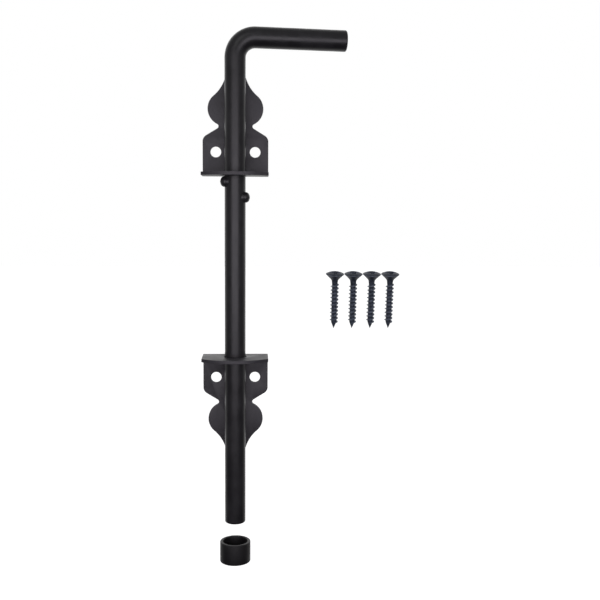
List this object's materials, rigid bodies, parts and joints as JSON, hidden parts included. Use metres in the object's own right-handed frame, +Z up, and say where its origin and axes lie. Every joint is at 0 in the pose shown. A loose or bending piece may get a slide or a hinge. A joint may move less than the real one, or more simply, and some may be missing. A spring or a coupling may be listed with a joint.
{
  "type": "cane bolt",
  "caption": "Gate drop bolt: a bent round rod slides and turns in finial-shaped steel brackets, with a ground sleeve and wood screws.",
  "frame": {"origin": "on the back face of the lower bracket, midway between its two screw holes", "axes": "+X along the gate the way the handle points, +Y into the gate, +Z up along the rod"},
  "size_m": [0.122, 0.0311, 0.3287],
  "materials": {
    "powder_coated_rod": "satin black powder coat",
    "powder_coated_bracket": "satin black powder coat",
    "powder_coated_sleeve": "satin black powder coat",
    "blackened_screw_steel": "black phosphate with a bluish sheen"
  },
  "bodies": {
    "fixed_hardware": {"upper_bracket": "powder_coated_bracket", "lower_bracket": "powder_coated_bracket", "ground_sleeve": "powder_coated_sleeve", "screw_1": "blackened_screw_steel", "screw_2": "blackened_screw_steel", "screw_3": "blackened_screw_steel", "screw_4": "blackened_screw_steel"},
    "stop_studs": {"upper_stop_stud": "powder_coated_rod", "lower_stop_stud": "powder_coated_rod"},
    "drop_rod": {"cane_rod": "powder_coated_rod"}
  },
  "joints": [
    {"name": "bolt_slide", "type": "slide", "parent": "fixed_hardware", "child": "stop_studs", "axis": [0, 0, 1], "range_m": [-0.068, 0]},
    {"name": "handle_swivel", "type": "hinge", "parent": "stop_studs", "child": "drop_rod", "pos_m": [0, -0.013, 0.1], "axis": [0, 0, 1], "range_deg": [-190, 0]}
  ]
}
